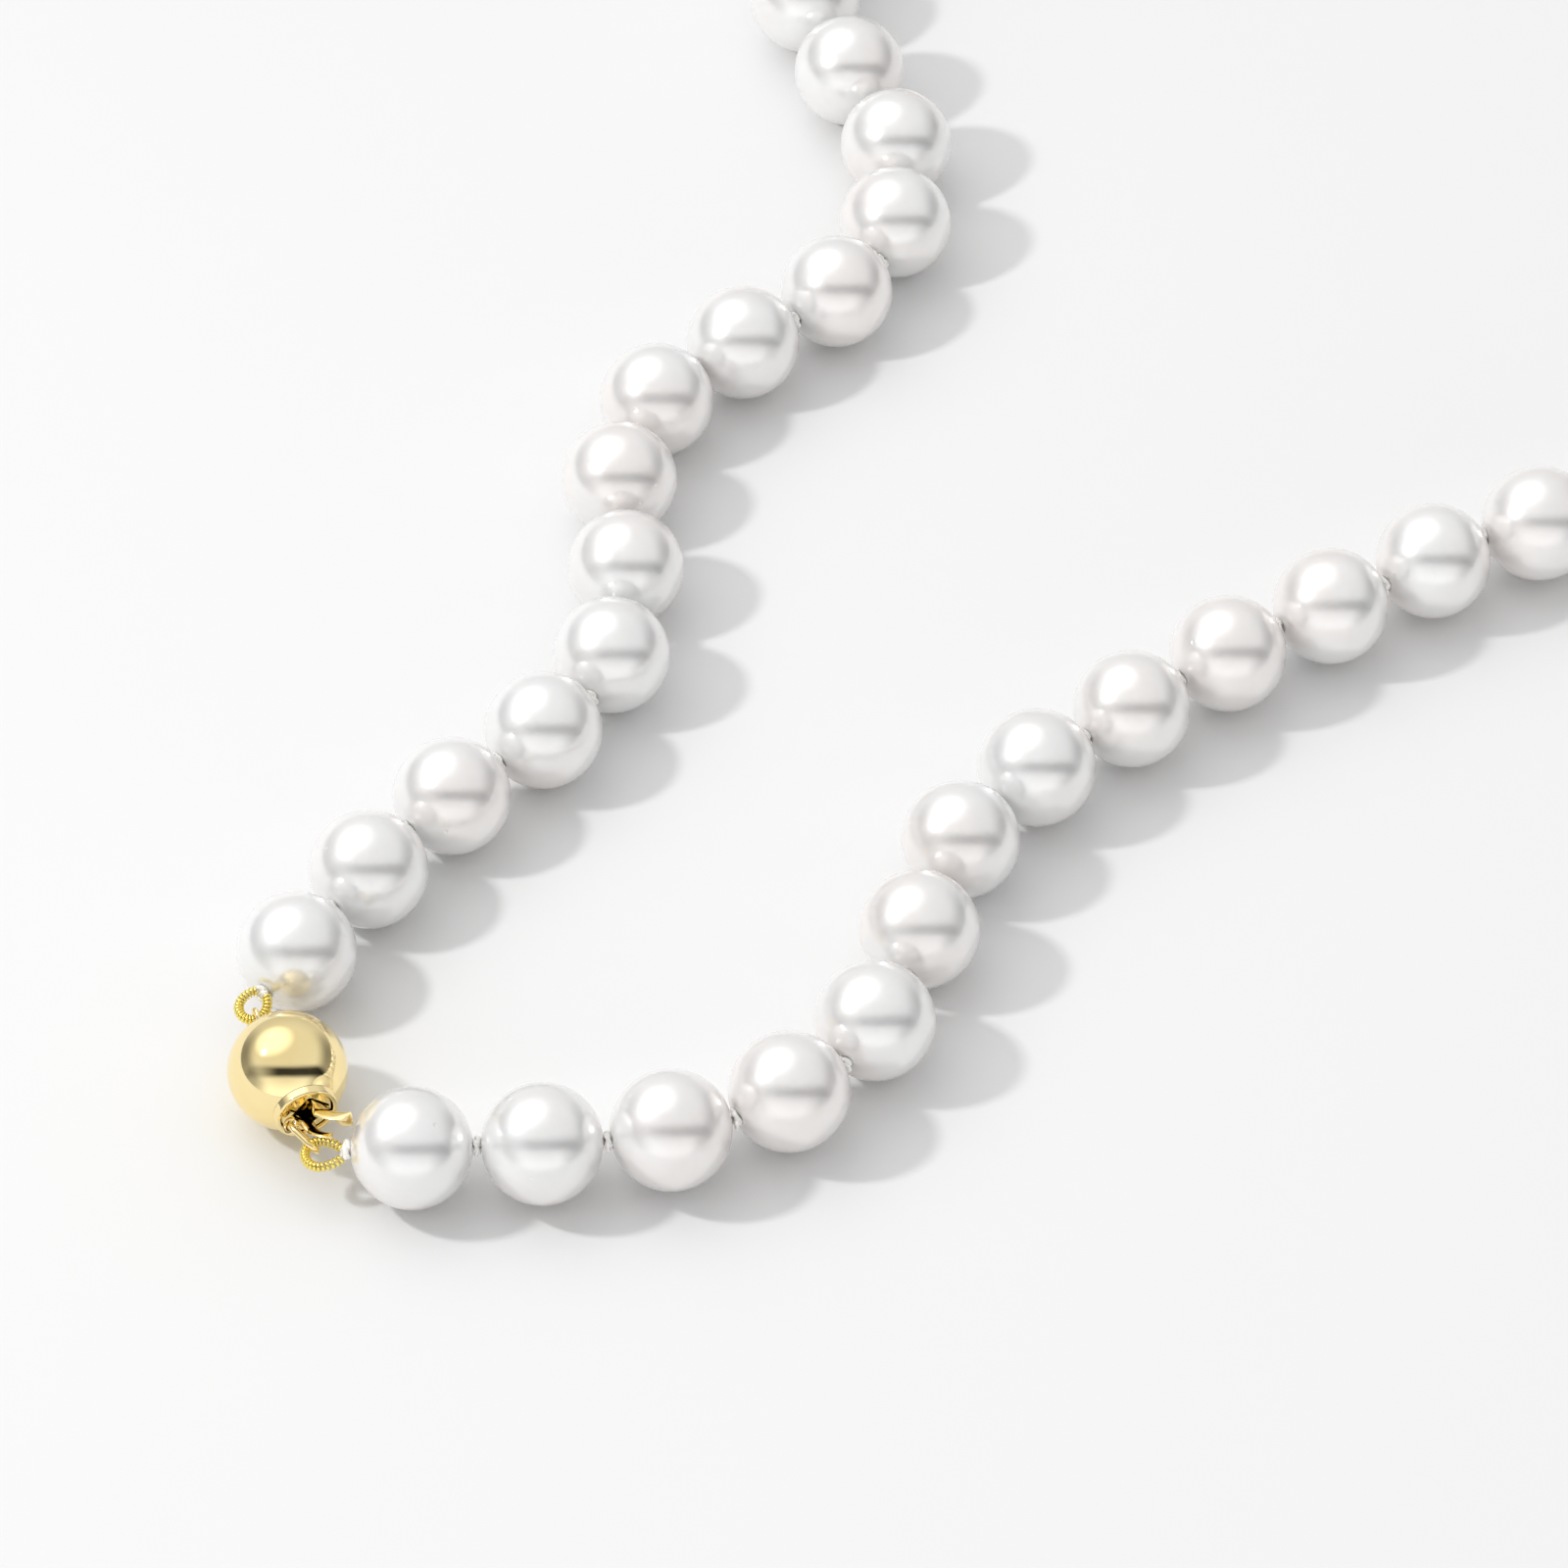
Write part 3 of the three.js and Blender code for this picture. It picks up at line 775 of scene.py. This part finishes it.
def tongue_ring():
    """The long wire ring between the lug and the right French wire."""
    hook = RIGHT_LOOP + [RING_WIRE + FRENCH_RADIUS + LOOP_GAP - LOOP_RADIUS, 0, 0]
    start, end = in_tongue(LUG_HOLE), in_clasp(hook)
    along = unit(end - start)
    normal = np.array([0, 1, 0.45]) @ CLASP_AXES
    normal = unit(normal - np.dot(normal, along) * along)
    across = np.cross(normal, along)
    straight = np.linalg.norm(end - start) / 2 - RING_HALF_WIDTH
    half = arc((straight, 0), RING_HALF_WIDTH, -90, 90, 26)
    runs = np.linspace(half[-1], [-straight, RING_HALF_WIDTH], 14)[1:-1]
    outline = np.vstack([half, runs, -half, -runs])
    path = (start + end) / 2 + outline[:, :1] * along + outline[:, 1:] * across
    t = tangents(path, True)
    lift = np.tile(normal, (len(path), 1))
    side = np.cross(lift, t)
    section = round_section(np.full(len(path), RING_WIRE), WIRE_SIDES)
    shells = Shells().closed(swept(path, section, True, (side, lift)))
    return shells.object("wire_ring", polished_gold)


def rear_eye():
    """The fixed eye behind the ball: a wire ring on a small soldered foot."""
    centre = LEFT_LOOP * [1, 1, 0] + [LOOP_RADIUS, 0, 0]
    steps = 64
    turn = np.arange(steps) * 2 * math.pi / steps
    circle = np.stack([np.cos(turn), 0 * turn, np.sin(turn)], -1)
    path = in_clasp(centre + EYE_RADIUS * circle)
    side = circle @ CLASP_AXES
    lift = np.cross(tangents(path, True), side)
    section = round_section(np.full(steps, EYE_WIRE), WIRE_SIDES)
    shells = Shells().closed(swept(path, section, True, (side, lift)))
    foot_start = in_clasp(unit(centre) * (BALL_RADIUS - 0.05))
    foot_end = in_clasp(centre + [EYE_RADIUS, 0, 0])
    along = np.linspace(0, 1, 10)
    foot_path = foot_start + along[:, None] * (foot_end - foot_start)
    radii = FOOT_RADIUS + FOOT_FLARE * (1 - along) ** 2
    shells.capped(swept(foot_path, round_section(radii, 24), False), tips=False)
    return shells.object("rear_eye", polished_gold, CREASE)


def loop_path(stretch, steps, centre, towards, normal):
    """A loop's centreline: round, and drawn out to its two ends on the side of the knot."""
    open_turn = math.asin(LOOP_OPENING / LOOP_RADIUS)
    turn = np.linspace(open_turn, 2 * math.pi - open_turn, steps)
    pull = stretch * ((1 + np.cos(turn)) / 2) ** 3
    third = np.cross(normal, towards)
    x = LOOP_RADIUS * np.cos(turn) + pull
    return centre + x[:, None] * towards + (LOOP_RADIUS * np.sin(turn))[:, None] * third


def french_wire(side, loop_at, stretch):
    """French wire: a fine gold coil that sleeves the silk where it links to the clasp."""
    body = f"french_wire_{side}"
    centre = in_clasp(loop_at)
    knot = joint_place(f"knot_{side}_01")
    normal = np.array([0, -math.sin(LOOP_TILT), math.cos(LOOP_TILT)])
    towards = knot - centre
    towards = unit(towards - np.dot(towards, normal) * normal)
    steps = FRENCH_TURNS * FRENCH_STEPS_PER_TURN
    core = loop_path(stretch, steps, centre, towards, normal)
    along = tangents(core, False)
    inward = np.cross(np.tile(normal, (steps, 1)), along)
    phase = 2 * math.pi * np.arange(steps) / FRENCH_STEPS_PER_TURN
    coil_radius = FRENCH_RADIUS - FRENCH_WIRE
    outward = np.cos(phase)[:, None] * inward + np.sin(phase)[:, None] * normal
    path = core + coil_radius * outward
    pitch = np.linalg.norm(core[1] - core[0]) * FRENCH_STEPS_PER_TURN
    bend = 1 - coil_radius * np.cos(phase) / LOOP_RADIUS
    half_pitch = FRENCH_FILL * pitch * np.clip(bend, 0.6, 1.4)
    coil_along = tangents(path, False)
    width_way = unit_rows(np.cross(outward, coil_along))
    ring = round_section(np.ones(steps), FRENCH_WIRE_SIDES)
    ring[..., 0] *= half_pitch[:, None]
    ring[..., 1] *= FRENCH_WIRE
    coil = Shells().capped(swept(path, ring, False, (width_way, outward)), tips=False)
    coil_piece = coil.object(f"bullion_coil_{side}", french_gold)
    place(coil_piece, body, "french_wire_gold", body)

    inside = loop_path(stretch, 150, centre, towards, normal)
    lead_in = knot - 0.25 * towards
    first = quadratic(knot, lead_in, inside[0], 14)[:-1]
    last = quadratic(inside[-1], lead_in, knot, 14)[1:]
    silk_path = np.vstack([first, inside, last])
    section = plied_section(np.full(len(silk_path), CORE_RADIUS), SILK_SIDES, 0.7, silk_path)
    core_piece = Shells().capped(swept(silk_path, section, False)).object(f"silk_core_{side}", silk)
    place(core_piece, body, "silk", "silk_cord")


place(ball_shell(), "clasp_ball", "polished_gold", "clasp_ball_shell")
place(collar(), "clasp_ball", "polished_gold", "clasp_collar")
place(slot_plate(), "clasp_ball", "polished_gold", "clasp_slot_plate")
place(rear_eye(), "clasp_ball", "polished_gold", "clasp_rear_eye")
place(tongue_body(), "tongue", "polished_gold", "tongue_body")
place(spring_leaf(), "spring_leaf", "polished_gold", "tongue_spring_leaf")
place(tongue_ring(), "tongue_ring", "polished_gold", "tongue_ring")
french_wire("left", LEFT_LOOP, LEFT_STRETCH)
french_wire("right", RIGHT_LOOP, RIGHT_STRETCH)

# ---------------------------------------------------------------- floor, light and camera

FLOOR_HALF = 6.0  # metres
FLOOR_DROP = 0.00002  # metres
FLOOR_TONE = (0.86, 0.86, 0.86)


def floor():
    m = Nodes("floor_paper")
    grain = m.ranged(m.noise(40, 3.0), (0.3, 0.7), (0.0, 1.0))
    m.link(
        m.mixed(grain, FLOOR_TONE, tuple(c * 0.998 for c in FLOOR_TONE)),
        m.shader.inputs["Base Color"],
    )
    m.fixed(Roughness=1.0)
    m.shader.inputs["Specular IOR Level"].default_value = 0.0
    corners = [(-1, -1), (1, -1), (1, 1), (-1, 1)]
    mesh = bpy.data.meshes.new("floor")
    points = [(x * FLOOR_HALF, y * FLOOR_HALF, -FLOOR_DROP) for x, y in corners]
    mesh.from_pydata(points, [], [range(4)])
    mesh.materials.append(m.material)
    piece = bpy.data.objects.new("floor", mesh)
    bpy.context.scene.collection.objects.link(piece)


KEY_OFFSET = np.array([-165.0, 14.0, 200.0])
KEY_RADIUS = 13.0
KEY_STRENGTH = 14.0
SOFT_BOX_FROM = unit(np.array([-0.36, 0.40, 0.84]))
SOFT_BOX_LIGHT = 0.75
CAMERA_SIDE_LIGHT = 1.25
FAR_SIDE_LIGHT = 0.68
CEILING_LIGHT = 0.82
SIDE_WALL_SHADE = 0.62
BACKDROP_LIGHT = 0.93
GAP_NORMAL = (0.0, 0.7548, 0.656)  # the dark gap lies in the plane of the view and the x axis
GAP_SHADE = 0.95
GAP_SHADE_LEFT = 0.42  # of the shade at its right


def studio_world():
    """A soft studio: dim side walls, a ceiling, a broad soft box, and a dark gap by the camera."""
    world = bpy.data.worlds.new("studio")
    world.use_nodes = True
    bpy.context.scene.world = world
    tree = world.node_tree
    background = next(n for n in tree.nodes if n.type == "BACKGROUND")
    direction = tree.nodes.new("ShaderNodeTexCoord").outputs["Generated"]

    def dot(vector):
        node = tree.nodes.new("ShaderNodeVectorMath")
        node.operation = "DOT_PRODUCT"
        tree.links.new(direction, node.inputs[0])
        node.inputs[1].default_value = vector
        return node.outputs["Value"]

    def ranged(value, source, target):
        node = tree.nodes.new("ShaderNodeMapRange")
        node.interpolation_type = "SMOOTHSTEP"
        tree.links.new(value, node.inputs["Value"])
        for key, number in zip(("From Min", "From Max", "To Min", "To Max"), (*source, *target)):
            node.inputs[key].default_value = number
        return node.outputs["Result"]

    def maths(operation, first, second):
        node = tree.nodes.new("ShaderNodeMath")
        node.operation = operation
        for socket, value in zip(node.inputs, (first, second)):
            if isinstance(value, (int, float)):
                socket.default_value = value
            else:
                tree.links.new(value, socket)
        return node.outputs[0]

    height = dot((0, 0, 1))
    low_light = ranged(dot((0, 1, 0)), (-0.6, 0.4), (CAMERA_SIDE_LIGHT, FAR_SIDE_LIGHT))
    lowness = ranged(height, (0.1, 0.7), (1.0, 0.0))
    ceiling = maths("MULTIPLY", maths("SUBTRACT", 1.0, lowness), CEILING_LIGHT)
    dome = maths("ADD", maths("MULTIPLY", low_light, lowness), ceiling)

    off_middle = maths("ABSOLUTE", dot((1, 0, 0)), 0)
    sideways = ranged(off_middle, (0.46, 0.92), (0.0, SIDE_WALL_SHADE))
    wall_shade = maths("MULTIPLY", sideways, ranged(height, (0.2, 0.6), (1.0, 0.0)))
    dome = maths("MULTIPLY", dome, maths("SUBTRACT", 1.0, wall_shade))
    box = ranged(dot(tuple(SOFT_BOX_FROM)), (0.80, 0.975), (0.0, SOFT_BOX_LIGHT))
    lit = maths("ADD", dome, box)

    in_gap = ranged(maths("ABSOLUTE", dot(GAP_NORMAL), 0), (0.06, 0.26), (1.0, 0.0))
    rightward = ranged(dot((1, 0, 0)), (-0.92, -0.20), (GAP_SHADE_LEFT, 1.0))
    camera_side = ranged(dot((0, -1, 0)), (0.0, 0.25), (0.0, 1.0))
    gap = maths("MULTIPLY", maths("MULTIPLY", in_gap, rightward), camera_side)
    shown = maths("MULTIPLY", lit, maths("SUBTRACT", 1.0, maths("MULTIPLY", gap, GAP_SHADE)))
    backdrop = tree.nodes.new("ShaderNodeLightPath").outputs["Is Camera Ray"]
    mix = tree.nodes.new("ShaderNodeMix")
    tree.links.new(backdrop, mix.inputs["Factor"])
    tree.links.new(shown, mix.inputs["A"])
    mix.inputs["B"].default_value = BACKDROP_LIGHT
    tree.links.new(mix.outputs["Result"], background.inputs["Strength"])
    background.inputs["Color"].default_value = (1, 1, 1, 1)


def key_light():
    """A small key lamp to the left. Its light doesn't fade with distance: the floor stays even."""
    lamp = bpy.data.lights.new("key", "POINT")
    lamp.energy = 1.0
    lamp.shadow_soft_size = KEY_RADIUS * MM
    lamp.use_nodes = True
    tree = lamp.node_tree
    emission = next(n for n in tree.nodes if n.type == "EMISSION")
    falloff = tree.nodes.new("ShaderNodeLightFalloff")
    falloff.inputs["Strength"].default_value = KEY_STRENGTH
    tree.links.new(falloff.outputs["Constant"], emission.inputs["Strength"])
    source = bpy.data.objects.new("key", lamp)
    source.location = Vector((BALL + KEY_OFFSET) * MM)
    bpy.context.scene.collection.objects.link(source)


CAMERA_LENS = 175.8
CAMERA_ELEVATION = math.radians(49)
CAMERA_DISTANCE = 528.8
LOOK_OFFSET = np.array([33.2, 25.4, 0.0])


def camera():
    data = bpy.data.cameras.new("camera")
    data.lens = CAMERA_LENS
    data.sensor_width = 36.0
    data.clip_start = 0.01
    data.clip_end = 50.0
    target = BALL + LOOK_OFFSET
    back = np.array([0, -math.cos(CAMERA_ELEVATION), math.sin(CAMERA_ELEVATION)])
    view = bpy.data.objects.new("camera", data)
    view.location = Vector((target + CAMERA_DISTANCE * back) * MM)
    view.rotation_euler = Vector(-back).to_track_quat("-Z", "Y").to_euler()
    bpy.context.scene.collection.objects.link(view)
    bpy.context.scene.camera = view


floor()
studio_world()
key_light()
camera()
bpy.context.scene.view_settings.view_transform = "Standard"
